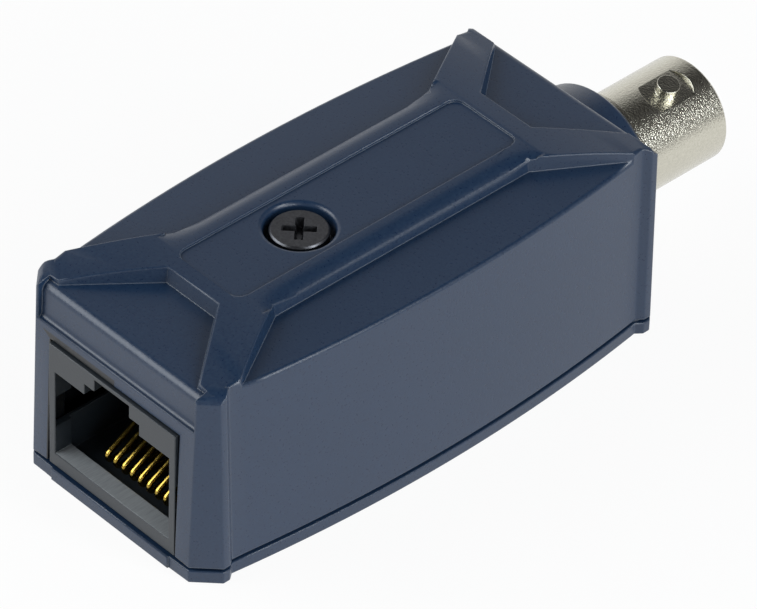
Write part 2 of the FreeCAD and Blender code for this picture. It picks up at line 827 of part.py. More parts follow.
def make_jack_housing():
    body = new_body("jack_housing")
    height = of("jack_top") - of("jack_seat")
    half_jack = of("jack_width") / 2
    block = new_sketch(body, "jack_outline", "XZ_Plane")
    draw_rectangle(block, -half_jack, of("jack_seat"), half_jack, of("jack_top"))
    extrude(body, "Pad", "jack_block", block, of("jack_length"), reverse=True)
    mouth = new_sketch(body, "mouth_outline", "XZ_Plane")
    half_mouth = of("mouth_width") / 2
    half_notch = of("notch_width") / 2
    half_key = of("key_width") / 2
    draw_loop(mouth, [
        (-half_mouth, of("mouth_floor")),
        (half_mouth, of("mouth_floor")),
        (half_mouth, of("mouth_top")),
        (half_notch, of("mouth_top")),
        (half_notch, of("notch_top")),
        (half_key, of("notch_top")),
        (half_key, of("key_top")),
        (-half_key, of("key_top")),
        (-half_key, of("notch_top")),
        (-half_notch, of("notch_top")),
        (-half_notch, of("mouth_top")),
        (-half_mouth, of("mouth_top")),
    ])
    extrude(body, "Pocket", "mouth", mouth, of("collar_depth") + 1)
    inside = new_sketch(body, "jack_cavity_outline", "XZ_Plane", -of("collar_depth"))
    half_cavity = of("cavity_width") / 2
    draw_loop(inside, [
        (-half_cavity, of("cavity_floor")),
        (half_cavity, of("cavity_floor")),
        (half_cavity, of("mouth_top") + 0.3),
        (half_notch, of("mouth_top") + 0.3),
        (half_notch, of("key_top")),
        (-half_notch, of("key_top")),
        (-half_notch, of("mouth_top") + 0.3),
        (-half_cavity, of("mouth_top") + 0.3),
    ])
    extrude(body, "Pocket", "jack_cavity", inside, of("jack_length"))
    slots = new_sketch(body, "side_slots_outline", "YZ_Plane")
    draw_rectangle(slots, of("slot_setback"), of("slot_bottom"), of("slot_length"), of("slot_top"))
    extrude(body, "Pocket", "side_slots", slots, of("jack_width") + 2, both=True)
    pins = new_sketch(body, "pin_passage", "XY_Plane", of("jack_top"))
    draw_rectangle(pins, -half_notch - 1.2, of("jack_length") - of("carrier_length"),
                   half_notch + 1.2, of("jack_length") + 1)
    extrude(body, "Pocket", "pin_opening", pins, height / 2)
    return body


# Contact carrier: the insert at the back of the jack, grooved for the eight wires

def make_contact_carrier():
    body = new_body("contact_carrier")
    fit = of("fit_clearance")
    half_cavity = of("cavity_width") / 2 - fit
    half_top = of("notch_width") / 2 + 1.2 - fit
    block = new_sketch(body, "carrier_outline", "XZ_Plane")
    draw_loop(block, [
        (-half_cavity, of("cavity_floor") + fit),
        (half_cavity, of("cavity_floor") + fit),
        (half_cavity, of("mouth_top") + 0.3 - fit),
        (half_top, of("mouth_top") + 0.3 - fit),
        (half_top, of("jack_top") - fit),
        (-half_top, of("jack_top") - fit),
        (-half_top, of("mouth_top") + 0.3 - fit),
        (-half_cavity, of("mouth_top") + 0.3 - fit),
    ])
    extrude(body, "Pad", "carrier_block", block, of("carrier_length"))
    grooves = new_sketch(body, "carrier_grooves", "XY_Plane", of("cavity_floor"))
    groove = of("contact_wire") / 2 + 0.04
    front = contact_front_reach
    for number in range(8):
        back = contact_row(number) - contact_carrier_back
        draw_rectangle(grooves, contact_x(number) - groove, front, contact_x(number) + groove,
                       back + groove)
    extrude(body, "Pocket", "wire_grooves", grooves, of("jack_top"), reverse=True)
    return body


# Jack contact: one bent wire from the board, under the carrier and back up into the mouth

def make_jack_contact(number):
    body = new_body(f"jack_contact_{number + 1}")
    path = new_sketch(body, f"contact_path_{number + 1}", "YZ_Plane", contact_x(number))
    back = contact_row(number)
    bend = of("contact_bend")
    floor = of("cavity_floor") + of("contact_lift") + of("contact_wire") / 2
    rise = of("contact_rise")
    top = board_over + of("pin_tail")
    front_y = jack_face + of("contact_front")
    loop_turn = 180 - rise
    centre = (front_y + bend, floor + bend)
    leave = (centre[0] - bend * sine(rise), centre[1] + bend * cosine(rise))
    reach = of("contact_reach")
    tip = (leave[0] + reach * cosine(rise), leave[1] + reach * sine(rise))
    points = [
        ((back, top), (back, floor + bend)),
        ((back - bend, floor), (centre[0], floor)),
        (leave, tip),
    ]
    lines = []
    for start, end in points:
        line = path.addGeometry(Part.LineSegment(
            Vector(start[0].value, start[1].value, 0), Vector(end[0].value, end[1].value, 0)))
        hold(path, "DistanceX", line, 1, start[0])
        hold(path, "DistanceY", line, 1, start[1])
        hold(path, "DistanceX", line, 2, end[0])
        hold(path, "DistanceY", line, 2, end[1])
        lines.append(line)
    elbow_centre = Vector((back - bend).value, (floor + bend).value, 0)
    elbow = Part.Circle(elbow_centre, Vector(0, 0, 1), bend.value)
    arc = path.addGeometry(Part.ArcOfCircle(elbow, -math.pi / 2, 0))
    path.addConstraint(Sketcher.Constraint("Coincident", lines[1], 1, arc, 1))
    path.addConstraint(Sketcher.Constraint("Coincident", lines[0], 2, arc, 2))
    hold_radius(path, arc, bend)
    loop = Part.Circle(Vector(centre[0].value, centre[1].value, 0), Vector(0, 0, 1), bend.value)
    arc = path.addGeometry(Part.ArcOfCircle(
        loop, math.radians(90 + rise.value), math.radians(270)))
    path.addConstraint(Sketcher.Constraint("Coincident", lines[1], 2, arc, 2))
    path.addConstraint(Sketcher.Constraint("Coincident", lines[2], 1, arc, 1))
    hold_radius(path, arc, bend)
    section = new_sketch(body, f"contact_section_{number + 1}", "XY_Plane", top)
    draw_square(section, contact_x(number), back, of("contact_wire"))
    doc.recompute()
    pipe = body.newObject("PartDesign::AdditivePipe", f"contact_wire_{number + 1}")
    pipe.Profile = section
    pipe.Spine = (path, [])
    doc.recompute()
    return body


# Coaxial connector, turned from one bar, with two bayonet lugs

def make_bnc_shell():
    body = new_body("bnc_shell")
    profile = new_sketch(body, "barrel_profile", "YZ_Plane")
    barrel = of("barrel_diameter") / 2
    lip = of("barrel_lip")
    flange = of("flange_thickness")
    hollow = of("barrel_bore") / 2
    sleeve = of("insulator_diameter") / 2
    length = barrel_tip - boss_face
    hollow_floor = length - of("barrel_bore_depth")
    draw_loop(profile, [
        (-of("neck_length"), sleeve),
        (hollow_floor, sleeve),
        (hollow_floor, hollow),
        (length - lip, hollow),
        (length, hollow + lip),
        (length, barrel - lip),
        (length - lip, barrel),
        (flange, barrel),
        (flange, of("flange_diameter") / 2),
        (0, of("flange_diameter") / 2),
        (0, of("neck_diameter") / 2),
        (-of("neck_length"), of("neck_diameter") / 2),
    ])
    revolve(body, "Revolution", "barrel", profile, "H_Axis")
    land = of("barrel_diameter") / 2 - of("lug_land_depth")
    lug_y = length - of("lug_setback")
    for way, name in ((1, "upper"), (-1, "lower")):
        flat = new_sketch(body, f"{name}_land_outline", "XY_Plane", way * land)
        draw_circle(flat, 0, lug_y, of("lug_land"))
        extrude(body, "Pocket", f"{name}_land", flat, 1, reverse=way > 0)
        lug = new_sketch(body, f"{name}_lug_outline", "XY_Plane", way * (land - 0.2))
        draw_circle(lug, 0, lug_y, of("lug_diameter"))
        extrude(body, "Pad", f"{name}_lug", lug, of("lug_span") / 2 - land + 0.2, reverse=way < 0)
    return body


# Sleeve and centre contact of the coaxial connector

def make_bnc_insulator():
    body = new_body("bnc_insulator")
    profile = new_sketch(body, "sleeve_profile", "YZ_Plane")
    length = barrel_tip - boss_face - of("insulator_setback")
    draw_loop(profile, [
        (-of("neck_length") - 0.3, of("socket_diameter") / 2),
        (length, of("socket_diameter") / 2),
        (length, of("insulator_diameter") / 2 - 0.3),
        (length - 0.3, of("insulator_diameter") / 2),
        (-of("neck_length") - 0.3, of("insulator_diameter") / 2),
    ])
    revolve(body, "Revolution", "sleeve", profile, "H_Axis")
    return body


def make_bnc_center_contact():
    body = new_body("bnc_center_contact")
    profile = new_sketch(body, "socket_profile", "YZ_Plane")
    length = barrel_tip - boss_face - of("insulator_setback") - of("socket_setback")
    back = -of("neck_length") - 0.3
    draw_loop(profile, [
        (back - of("tail_length"), 0),
        (length - of("socket_bore_depth"), 0),
        (length - of("socket_bore_depth"), of("socket_bore") / 2),
        (length, of("socket_bore") / 2),
        (length, of("socket_diameter") / 2),
        (back, of("socket_diameter") / 2),
        (back, of("tail_diameter") / 2),
        (back - of("tail_length"), of("tail_diameter") / 2),
    ])
    revolve(body, "Revolution", "socket", profile, "H_Axis")
    slit = new_sketch(body, "slit_outline", "XY_Plane")
    draw_rectangle(slit, -of("socket_slit") / 2, length - of("socket_bore_depth") + 0.4,
                   of("socket_slit") / 2, length + 1)
    extrude(body, "Pocket", "slits", slit, of("socket_diameter") + 1, both=True)
    return body


# Hardware on the neck: toothed washer, solder tag and nut

def make_lock_washer():
    body = new_body("lock_washer")
    ring = new_sketch(body, "washer_outline", "XZ_Plane")
    draw_circle(ring, 0, 0, washer_diameter)
    draw_circle(ring, 0, 0, of("neck_diameter") + 2 * of("fit_clearance"))
    extrude(body, "Pad", "washer_ring", ring, of("washer_thickness"), reverse=True)
    notch = new_sketch(body, "washer_notch_outline", "XZ_Plane")
    draw_rectangle(notch, -of("washer_notch") / 2, washer_diameter / 2 - of("washer_notch"),
                   of("washer_notch") / 2, washer_diameter / 2 + 1)
    cut = extrude(body, "Pocket", "washer_notch_cut", notch, of("washer_thickness") + 1)
    pattern = body.newObject("PartDesign::PolarPattern", "washer_teeth")
    pattern.Originals = [cut]
    pattern.Axis = (notch, ["N_Axis"])
    pattern.Angle = 360
    pattern.Occurrences = 12
    body.Tip = pattern
    return body


def make_solder_tag():
    body = new_body("solder_tag")
    ring = new_sketch(body, "tag_outline", "XZ_Plane")
    draw_circle(ring, 0, 0, washer_diameter)
    draw_circle(ring, 0, 0, of("neck_diameter") + 2 * of("fit_clearance"))
    extrude(body, "Pad", "tag_ring", ring, of("tag_thickness"), reverse=True)
    tab = new_sketch(body, "tab_outline", "XZ_Plane", 0, Vector(0, 0, 1), of("tag_turn"))
    draw_rectangle(tab, -of("tag_width") / 2, of("neck_diameter") / 2 + 0.6,
                   of("tag_width") / 2, of("tag_reach"))
    extrude(body, "Pad", "tag_tab", tab, of("tag_thickness"), reverse=True)
    return body


def make_coax_nut():
    body = new_body("coax_nut")
    outline = new_sketch(body, "nut_outline", "XZ_Plane")
    corner = of("nut_width") / 2 / cosine(as_size(30))
    places = [(corner * cosine(as_size(60 * turn)), corner * sine(as_size(60 * turn)))
              for turn in range(6)]
    draw_loop(outline, places)
    extrude(body, "Pad", "nut_block", outline, of("nut_height"))
    bore = new_sketch(body, "nut_bore_outline", "XZ_Plane")
    draw_circle(bore, 0, 0, of("neck_diameter"))
    extrude(body, "Pocket", "nut_bore", bore, of("nut_height") + 1, reverse=True)
    return body


# Wires from the coaxial connector to the board

def make_lead(label, start_y, rise_y, level):
    body = new_body(label)
    path = new_sketch(body, f"{label}_path", "YZ_Plane")
    bend = of("lead_bend")
    top = board_over + of("pin_tail")
    straight = path.addGeometry(Part.LineSegment(
        Vector(start_y.value, level.value, 0), Vector((rise_y + bend).value, level.value, 0)))
    upright = path.addGeometry(Part.LineSegment(
        Vector(rise_y.value, (level + bend).value, 0), Vector(rise_y.value, top.value, 0)))
    elbow = Part.Circle(Vector((rise_y + bend).value, (level + bend).value, 0), Vector(0, 0, 1), bend.value)
    arc = path.addGeometry(Part.ArcOfCircle(elbow, math.pi, 1.5 * math.pi))
    for geometry, point, y, z in ((straight, 1, start_y, level), (straight, 2, rise_y + bend, level),
                                  (upright, 1, rise_y, level + bend), (upright, 2, rise_y, top)):
        hold(path, "DistanceX", geometry, point, y)
        hold(path, "DistanceY", geometry, point, z)
    path.addConstraint(Sketcher.Constraint("Coincident", straight, 2, arc, 2))
    path.addConstraint(Sketcher.Constraint("Coincident", upright, 1, arc, 1))
    hold_radius(path, arc, bend)
    section = new_sketch(body, f"{label}_section", "XZ_Plane", -start_y)
    draw_square(section, as_size(0), level, of("lead_wire"))
    doc.recompute()
    pipe = body.newObject("PartDesign::AdditivePipe", f"{label}_wire")
    pipe.Profile = section
    pipe.Spine = (path, [])
    doc.recompute()
    return body


# Parts soldered under the board

def make_coupling_transformer():
    body = new_body("coupling_transformer")
    outline = new_sketch(body, "coil_outline", "XY_Plane")
    coil_x = of("coil_block_width") / 2
    coil_y = of("coil_block_length") / 2
    draw_rectangle(outline, -coil_x, -coil_y, coil_x, coil_y)
    extrude(body, "Pad", "coil_block", outline, of("coil_block_height"), reverse=True)
    dress(body, "Chamfer", "coil_edges",
          everywhere(lambda point: near(point.z, -of("coil_block_height"))), of("coil_chamfer"))
    legs = new_sketch(body, "leg_outline", "XY_Plane")
    half_leg = of("coil_leg") / 2
    for way in (-1, 1):
        for place in (-1, 0, 1):
            draw_rectangle(legs, place * of("coil_leg_pitch") - half_leg, way * coil_y,
                           place * of("coil_leg_pitch") + half_leg, way * (coil_y + of("coil_leg")))
    extrude(body, "Pad", "legs", legs, of("coil_leg_height"), reverse=True)
    return body


def make_block(label, width, length, height, place_x, place_y):
    block = doc.addObject("Part::Box", label)
    block.Label = label
    for path, size in (("Length", width), ("Width", length), ("Height", height)):
        setattr(block, path, as_size(size).value)
        bind(block, path, size)
    set_place(block, as_size(place_x) - width / 2, shift + place_y - length / 2, board_under - height)
    return block


contact_carrier_back = jack_face + of("jack_length")
contact_back = contact_carrier_back - of("carrier_length") / 2 + of("contact_pin_row") / 4
contact_front_reach = -of("carrier_length") - 1
neck_end = neck_root - of("neck_length")
tail_end = neck_end - 0.3 - of("tail_length")
lead_y = tail_end - of("lead_run")
tag_face = of("seat_face") - of("washer_thickness") - of("tag_thickness")
ground_x = of("ground_reach") * sine(of("tag_turn"))
ground_height = of("coax_height") + of("ground_reach") * cosine(of("tag_turn"))
ground_y = tag_face - of("ground_run")

nodes = []


def place_node(body, x=0, y=0, z=0, turn=None):
    if turn is not None:
        body.Placement = Placement(Vector(), Rotation(Vector(0, 1, 0), as_size(turn).value))
        bind(body, "Placement.Rotation.Angle", turn)
    set_place(body, x, shift + y, z)
    nodes.append(body)


place_node(make_upper_shell())
place_node(make_base_cover())
place_node(make_cover_screw(), 0, of("screw_place"), screw_floor)
place_node(make_circuit_board(), 0, 0, board_under)
place_node(make_jack_housing(), 0, jack_face)
place_node(make_contact_carrier(), 0, contact_carrier_back)
for contact_number in range(8):
    place_node(make_jack_contact(contact_number))
place_node(make_bnc_shell(), 0, boss_face, of("coax_height"), of("coax_turn"))
place_node(make_bnc_insulator(), 0, boss_face, of("coax_height"))
place_node(make_bnc_center_contact(), 0, boss_face, of("coax_height"))
place_node(make_lock_washer(), 0, of("seat_face") - of("washer_thickness"), of("coax_height"))
place_node(make_solder_tag(), 0, tag_face, of("coax_height"))
place_node(make_coax_nut(), 0, tag_face, of("coax_height"))
place_node(make_lead("signal_lead", tail_end, lead_y, of("coax_height")))
place_node(make_lead("ground_lead", tag_face, ground_y, ground_height), -ground_x)
place_node(make_coupling_transformer(), 0, of("coil_place"), board_under)
for block_name, block_x, block_y, block_height in (
        ("capacitor_1", -of("chip_x"), of("chip_y"), of("chip_height")),
        ("capacitor_2", of("chip_x"), of("chip_y"), of("chip_height")),
        ("surge_arrester", as_size(0), of("arrester_y"), of("arrester_height"))):
    nodes.append(make_block(block_name, of("chip_length"), of("chip_width"), block_height, block_x, block_y))
doc.recompute()

# Every object is checked before any file is written

for thing in doc.Objects:
    if "Invalid" in thing.State or "Error" in thing.State:
        raise ValueError(f"{thing.Name} is {thing.State}")
for node in nodes:
    if node.Shape.isNull() or not node.Shape.isValid() or len(node.Shape.Solids) != 1:
        raise ValueError(f"{node.Label} is not one valid solid")

os.makedirs("parts", exist_ok=True)
for node in nodes:
    node.Shape.exportStep(f"parts/{node.Label}.step")
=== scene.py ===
import json
import math

import bmesh
import bpy
from mathutils import Matrix, Vector


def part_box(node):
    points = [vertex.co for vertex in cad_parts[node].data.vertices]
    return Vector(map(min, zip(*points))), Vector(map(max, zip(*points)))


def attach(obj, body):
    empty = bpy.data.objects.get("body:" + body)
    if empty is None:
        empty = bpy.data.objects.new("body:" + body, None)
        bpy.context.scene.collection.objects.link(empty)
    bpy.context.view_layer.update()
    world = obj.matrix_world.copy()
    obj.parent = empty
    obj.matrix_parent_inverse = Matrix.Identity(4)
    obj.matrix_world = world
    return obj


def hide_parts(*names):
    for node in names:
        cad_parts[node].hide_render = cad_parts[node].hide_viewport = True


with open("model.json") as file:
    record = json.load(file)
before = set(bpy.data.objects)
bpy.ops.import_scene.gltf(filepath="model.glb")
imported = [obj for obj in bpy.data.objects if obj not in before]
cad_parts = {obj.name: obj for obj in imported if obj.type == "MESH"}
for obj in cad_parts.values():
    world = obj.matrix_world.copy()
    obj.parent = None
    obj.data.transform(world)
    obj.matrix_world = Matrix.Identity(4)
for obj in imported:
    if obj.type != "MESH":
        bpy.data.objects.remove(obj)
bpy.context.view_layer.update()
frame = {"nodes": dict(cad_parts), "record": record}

MM = 0.001


# Colours and nodes

def linear(hex_colour):
    """An sRGB hex colour as linear red, green and blue."""
    parts = [int(hex_colour[place:place + 2], 16) / 255 for place in (1, 3, 5)]
    return tuple(part / 12.92 if part <= 0.04045 else ((part + 0.055) / 1.055) ** 2.4 for part in parts) + (1.0,)


def add_node(tree, kind, settings=None, links=None):
    """Adds one node, sets its properties and sockets, and links other nodes' outputs to its inputs."""
    node = tree.nodes.new(kind)
    for name, value in (settings or {}).items():
        if isinstance(name, str) and hasattr(node, name):
            setattr(node, name, value)
        else:
            node.inputs[name].default_value = value
    for name, source in (links or {}).items():
        tree.links.new(source, node.inputs[name])
    return node


def new_material(name):
    material = bpy.data.materials.new(name)
    material.use_nodes = True
    tree = material.node_tree
    tree.nodes.clear()
    return material, tree


def finish_material(tree, surface):
    output = tree.nodes.new("ShaderNodeOutputMaterial")
    tree.links.new(surface, output.inputs["Surface"])


def grain(tree, size_mm, detail=2.0, roughness=0.5):
    """A noise whose features are about size_mm across, on the object's own coordinates in metres."""
    place = add_node(tree, "ShaderNodeTexCoord")
    noise = add_node(tree, "ShaderNodeTexNoise",
                     {"Scale": 1.0 / (size_mm * MM), "Detail": detail, "Roughness": roughness},
                     {"Vector": place.outputs["Object"]})
    return noise.outputs["Fac"]


def ramp(tree, source, low, high, low_colour, high_colour):
    node = add_node(tree, "ShaderNodeValToRGB", None, {"Fac": source})
    node.color_ramp.elements[0].position = low
    node.color_ramp.elements[0].color = low_colour
    node.color_ramp.elements[1].position = high
    node.color_ramp.elements[1].color = high_colour
    return node.outputs["Color"]


def stretch(tree, source, low, high, to_low, to_high):
    """A value moved from one range to another and kept inside it."""
    node = add_node(tree, "ShaderNodeMapRange",
                    {"From Min": low, "From Max": high, "To Min": to_low, "To Max": to_high},
                    {"Value": source})
    return node.outputs["Result"]


def mixed(tree, share, first, second, blend="MIX"):
    node = add_node(tree, "ShaderNodeMix", {"data_type": "RGBA", "blend_type": blend})
    for socket, source in ((0, share), (6, first), (7, second)):
        if isinstance(source, bpy.types.NodeSocket):
            tree.links.new(source, node.inputs[socket])
        else:
            node.inputs[socket].default_value = source
    return node.outputs[2]


def edge_share(tree, width_mm):
    """1 along the piece's edges and 0 on its open faces, over about width_mm."""
    rounded = add_node(tree, "ShaderNodeBevel", {"samples": 6, "Radius": width_mm * MM})
    flat = add_node(tree, "ShaderNodeNewGeometry")
    along = add_node(tree, "ShaderNodeVectorMath", {"operation": "DOT_PRODUCT"},
                     {0: rounded.outputs["Normal"], 1: flat.outputs["Normal"]})
    return stretch(tree, along.outputs["Value"], 0.995, 0.9, 0.0, 1.0)


# Finishes

# Painted shade: the inner side of the housing, which no light reaches, is coloured near black to stand for its
# shade
PAINTED_SHADE_INSIDE = "#0b0e12"
HOLLOW_BOX = ((-10.3, -30.9, 1.3), (10.3, 17.0, 17.5))
WALLS_BOX = ((-10.95, -32.7, 1.3), (10.95, -8.0, 14.9))


def scuffs_and_painted_sheen(tree, colour, low_mm, high_mm, scuff_and_sheen_colour):
    """The colour, with faces that look up between two heights painted lighter in fine lines along Y: partly scuff
    marks, partly a painted sheen for the light that the floor lip of the jack's mouth catches.
    """
    place = add_node(tree, "ShaderNodeTexCoord")
    lines = add_node(tree, "ShaderNodeMapping", {"Scale": (1 / (0.12 * MM), 1 / (1.6 * MM), 1 / MM)},
                     {"Vector": place.outputs["Object"]})
    scratches = add_node(tree, "ShaderNodeTexNoise", {"Scale": 1.0, "Detail": 2.0},
                         {"Vector": lines.outputs["Vector"]})
    height = add_node(tree, "ShaderNodeSeparateXYZ", None, {0: place.outputs["Object"]}).outputs["Z"]
    facing = add_node(tree, "ShaderNodeSeparateXYZ", None,
                      {0: add_node(tree, "ShaderNodeNewGeometry").outputs["Normal"]}).outputs["Z"]
    share = stretch(tree, scratches.outputs["Fac"], 0.3, 0.7, 0.75, 1.0)
    soft = 0.06 * MM
    for value in (stretch(tree, height, low_mm * MM - soft, low_mm * MM, 0.0, 1.0),
                  stretch(tree, height, high_mm * MM, high_mm * MM + soft, 1.0, 0.0),
                  stretch(tree, facing, 0.6, 0.8, 0.0, 1.0)):
        share = add_node(tree, "ShaderNodeMath", {"operation": "MULTIPLY"}, {0: share, 1: value}).outputs[0]
    return mixed(tree, share, colour, linear(scuff_and_sheen_colour))


def inside_box(tree, low_mm, high_mm):
    """1 inside a box on the object's own coordinates and 0 outside it."""
    place = add_node(tree, "ShaderNodeTexCoord").outputs["Object"]
    middle = [(low + high) / 2 * MM for low, high in zip(low_mm, high_mm)]
    half = [(high - low) / 2 * MM for low, high in zip(low_mm, high_mm)]
    offset = add_node(tree, "ShaderNodeVectorMath", {"operation": "SUBTRACT", 1: middle}, {0: place})
    reach = add_node(tree, "ShaderNodeVectorMath", {"operation": "ABSOLUTE"}, {0: offset.outputs[0]})
    room = add_node(tree, "ShaderNodeVectorMath", {"operation": "SUBTRACT", 0: half}, {1: reach.outputs[0]})
    sides = add_node(tree, "ShaderNodeSeparateXYZ", None, {0: room.outputs[0]}).outputs
    least = add_node(tree, "ShaderNodeMath", {"operation": "MINIMUM"}, {0: sides[0], 1: sides[1]})
    least = add_node(tree, "ShaderNodeMath", {"operation": "MINIMUM"}, {0: least.outputs[0], 1: sides[2]})
    return add_node(tree, "ShaderNodeMath", {"operation": "GREATER_THAN", 1: 0.0}, {0: least.outputs[0]}).outputs[0]


def painted_shade_share(tree):
    """1 where shade is painted on the inner side of the housing: all that lies in its hollow, and walls that face
    its middle.
    """
    place = add_node(tree, "ShaderNodeTexCoord").outputs["Object"]
    normal = add_node(tree, "ShaderNodeNewGeometry").outputs["Normal"]
    level = add_node(tree, "ShaderNodeVectorMath", {"operation": "MULTIPLY", 1: (1, 0, 0)}, {0: place})
    outward = add_node(tree, "ShaderNodeVectorMath", {"operation": "DOT_PRODUCT"}, {0: level.outputs[0], 1: normal})
    inward = add_node(tree, "ShaderNodeMath", {"operation": "LESS_THAN", 1: 0.0}, {0: outward.outputs["Value"]})
    walls = add_node(tree, "ShaderNodeMath", {"operation": "MULTIPLY"},
                     {0: inward.outputs[0], 1: inside_box(tree, *WALLS_BOX)})
    return add_node(tree, "ShaderNodeMath", {"operation": "MAXIMUM"},
                    {0: walls.outputs[0], 1: inside_box(tree, *HOLLOW_BOX)}).outputs[0]


def moulded_plastic(name, dark, light, edge_highlight, roughness, speckle_mm, bump_mm, ior=1.53, lip_scuff_and_sheen=None, painted_shade_inside=False):
    """Injection-moulded plastic from a spark-eroded tool: a fine even grain that breaks up its shine,
    a cloudy drift of tone, and edges painted a little lighter as a painted highlight."""
    material, tree = new_material(name)
    fine = grain(tree, speckle_mm, 3.0, 0.6)
    cloud = grain(tree, 40 * speckle_mm, 3.0, 0.55)
    colour = ramp(tree, fine, 0.35, 0.65, linear(dark), linear(light))
    tone = ramp(tree, cloud, 0.3, 0.7, (0.94, 0.94, 0.94, 1), (1, 1, 1, 1))
    colour = mixed(tree, 1.0, colour, tone, "MULTIPLY")
    edge = edge_share(tree, 0.13)
    # Painted highlight: the edges are coloured lighter, towards the edge highlight colour
    colour = mixed(tree, stretch(tree, edge, 0.0, 1.0, 0.0, 0.35), colour, linear(edge_highlight))
    # Faces that look up between two heights painted lighter: partly scuffs, partly a painted sheen
    if lip_scuff_and_sheen:
        colour = scuffs_and_painted_sheen(tree, colour, *lip_scuff_and_sheen)
    # Painted shade: the inner side of the housing is coloured near black
    if painted_shade_inside:
        colour = mixed(tree, painted_shade_share(tree), colour, linear(PAINTED_SHADE_INSIDE))
    shine = stretch(tree, fine, 0.3, 0.7, roughness - 0.05, roughness + 0.07)
    rounded = add_node(tree, "ShaderNodeBevel", {"samples": 6, "Radius": 0.13 * MM})
    bump = add_node(tree, "ShaderNodeBump", {"Strength": 0.6, "Distance": bump_mm * MM},
                    {"Height": fine, "Normal": rounded.outputs["Normal"]})
    surface = add_node(tree, "ShaderNodeBsdfPrincipled", {"IOR": ior},
                       {"Base Color": colour, "Roughness": shine, "Normal": bump.outputs["Normal"]})
    finish_material(tree, surface.outputs["BSDF"])
    return material


def plated_metal(name, dark, light, roughness, grain_mm, bump_mm):
    """Plated metal: the tone drifts a little and the surface keeps the fine pits under the plate."""
    material, tree = new_material(name)
    fine = grain(tree, grain_mm, 3.0, 0.6)
    colour = ramp(tree, fine, 0.3, 0.7, linear(dark), linear(light))
    shine = stretch(tree, fine, 0.3, 0.7, roughness - 0.05, roughness + 0.08)
    rounded = add_node(tree, "ShaderNodeBevel", {"samples": 6, "Radius": 0.08 * MM})
    bump = add_node(tree, "ShaderNodeBump", {"Strength": 0.5, "Distance": bump_mm * MM},
                    {"Height": fine, "Normal": rounded.outputs["Normal"]})
    surface = add_node(tree, "ShaderNodeBsdfPrincipled", {"Metallic": 1.0},
                       {"Base Color": colour, "Roughness": shine, "Normal": bump.outputs["Normal"]})
    finish_material(tree, surface.outputs["BSDF"])
    return material


FINISHES = {
    # moulded ABS with a spark-eroded grain: dark navy, a soft greyish shine where it faces the light; edges painted
    # lighter as a highlight, and its inner side painted near black as shade
    "housing_plastic": moulded_plastic("moulded_abs_navy", "#192c46", "#1e334c", "#8b929b", 0.31, 0.24, 0.015, 1.57,
                                       painted_shade_inside=True),
    # black-oxide steel: nearly black, with a dull oily shine
    "screw_steel": plated_metal("black_oxide_steel", "#505155", "#68696d", 0.36, 0.2, 0.004),
    # glass-epoxy laminate under green solder mask
    "board_laminate": moulded_plastic("solder_mask_laminate", "#12442a", "#1a5a36", "#2a6a46", 0.3, 0.4, 0.002),
    # glass-filled nylon: black-grey and slightly rough; the floor lip of its mouth painted lighter, partly scuffs
    # and partly a painted sheen
    "jack_plastic": moulded_plastic("moulded_nylon_black", "#1b2228", "#262d34", "#5a5f64", 0.4, 0.14, 0.015, 1.62,
                                    (2.72, 2.94, "#9a9ea1")),
    # satin nickel over a zinc casting: warm grey and finely pitted
    "connector_nickel": plated_metal("satin_nickel_plate", "#c8c5b8", "#d6d3c5", 0.12, 0.18, 0.08),
    # acetal sleeve: off-white and satin
    "insulator_plastic": moulded_plastic("turned_acetal", "#d8d5cc", "#e6e3db", "#f0eee8", 0.35, 0.3, 0.003, 1.48),
    # gold over nickel on phosphor bronze: a bright warm yellow at the bends
    "contact_gold": plated_metal("gold_plated_bronze", "#b9993f", "#cdb058", 0.16, 0.3, 0.001),
    # bright nickel on stamped steel
    "hardware_nickel": plated_metal("bright_nickel_steel", "#b5b1a8", "#c9c6be", 0.25, 0.3, 0.003),
    # tinned copper wire
    "lead_wire": plated_metal("tinned_copper", "#c2c3c2", "#d6d7d6", 0.3, 0.3, 0.002),
    # black moulding epoxy
    "coil_plastic": moulded_plastic("moulding_epoxy", "#1b1b1c", "#262627", "#3a3a3c", 0.55, 0.15, 0.01),
    # fired ceramic
    "chip_ceramic": moulded_plastic("fired_ceramic", "#8c7350", "#a48a64", "#b29a74", 0.5, 0.2, 0.004),
}

slots = {part["node"]: part["material_slot"] for part in frame["record"]["subparts"]}
for name, node in frame["nodes"].items():
    node.data.materials.clear()
    node.data.materials.append(FINISHES[slots[name]])


def is_crest(edge, shortest_mm=0.5):
    """A clean convex edge of the CAD form, long enough to take a small round."""
    return edge.is_convex and edge.calc_face_angle(0) >= SHARP and edge.calc_length() >= shortest_mm * MM


def is_fine_crest(edge):
    return is_crest(edge, 0.12)


def is_panel_rim(edge):
    """The long outer edge of a side panel, where the roof turns down into the bowed side wall."""
    roof, wall = sorted((face.normal for face in edge.link_faces), key=lambda normal: -normal.z)
    middle = (edge.verts[0].co + edge.verts[1].co) / 2
    return (is_crest(edge) and roof.z > 0.9 and abs(wall.x) > 0.9 and abs(middle.x) > RIM_X
            and middle.z > RIM_Z)


def is_ridge_edge(edge):
    """The long side edge of the raised cross, under its roll, where it drops to the side panel."""
    low, high = sorted(edge.verts, key=lambda corner: corner.co.y)
    return (is_crest(edge) and all(RIDGE_X[0] < abs(corner.co.x) < RIDGE_X[1] for corner in (low, high))
            and abs(high.co.y) < RIDGE_Y and high.co.y - low.co.y > 0.9 * edge.calc_length())


def is_well_mouth(edge):
    """The round upper edge of the well that the cover screw sits in."""
    middle = (edge.verts[0].co + edge.verts[1].co) / 2
    low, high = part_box("cover_screw")
    reach = math.hypot(middle.x - (low[0] + high[0]) / 2, middle.y - (low[1] + high[1]) / 2)
    return (edge.is_convex and edge.calc_face_angle(0) >= SHARP and reach < WELL_REACH
            and middle.z > high[2])


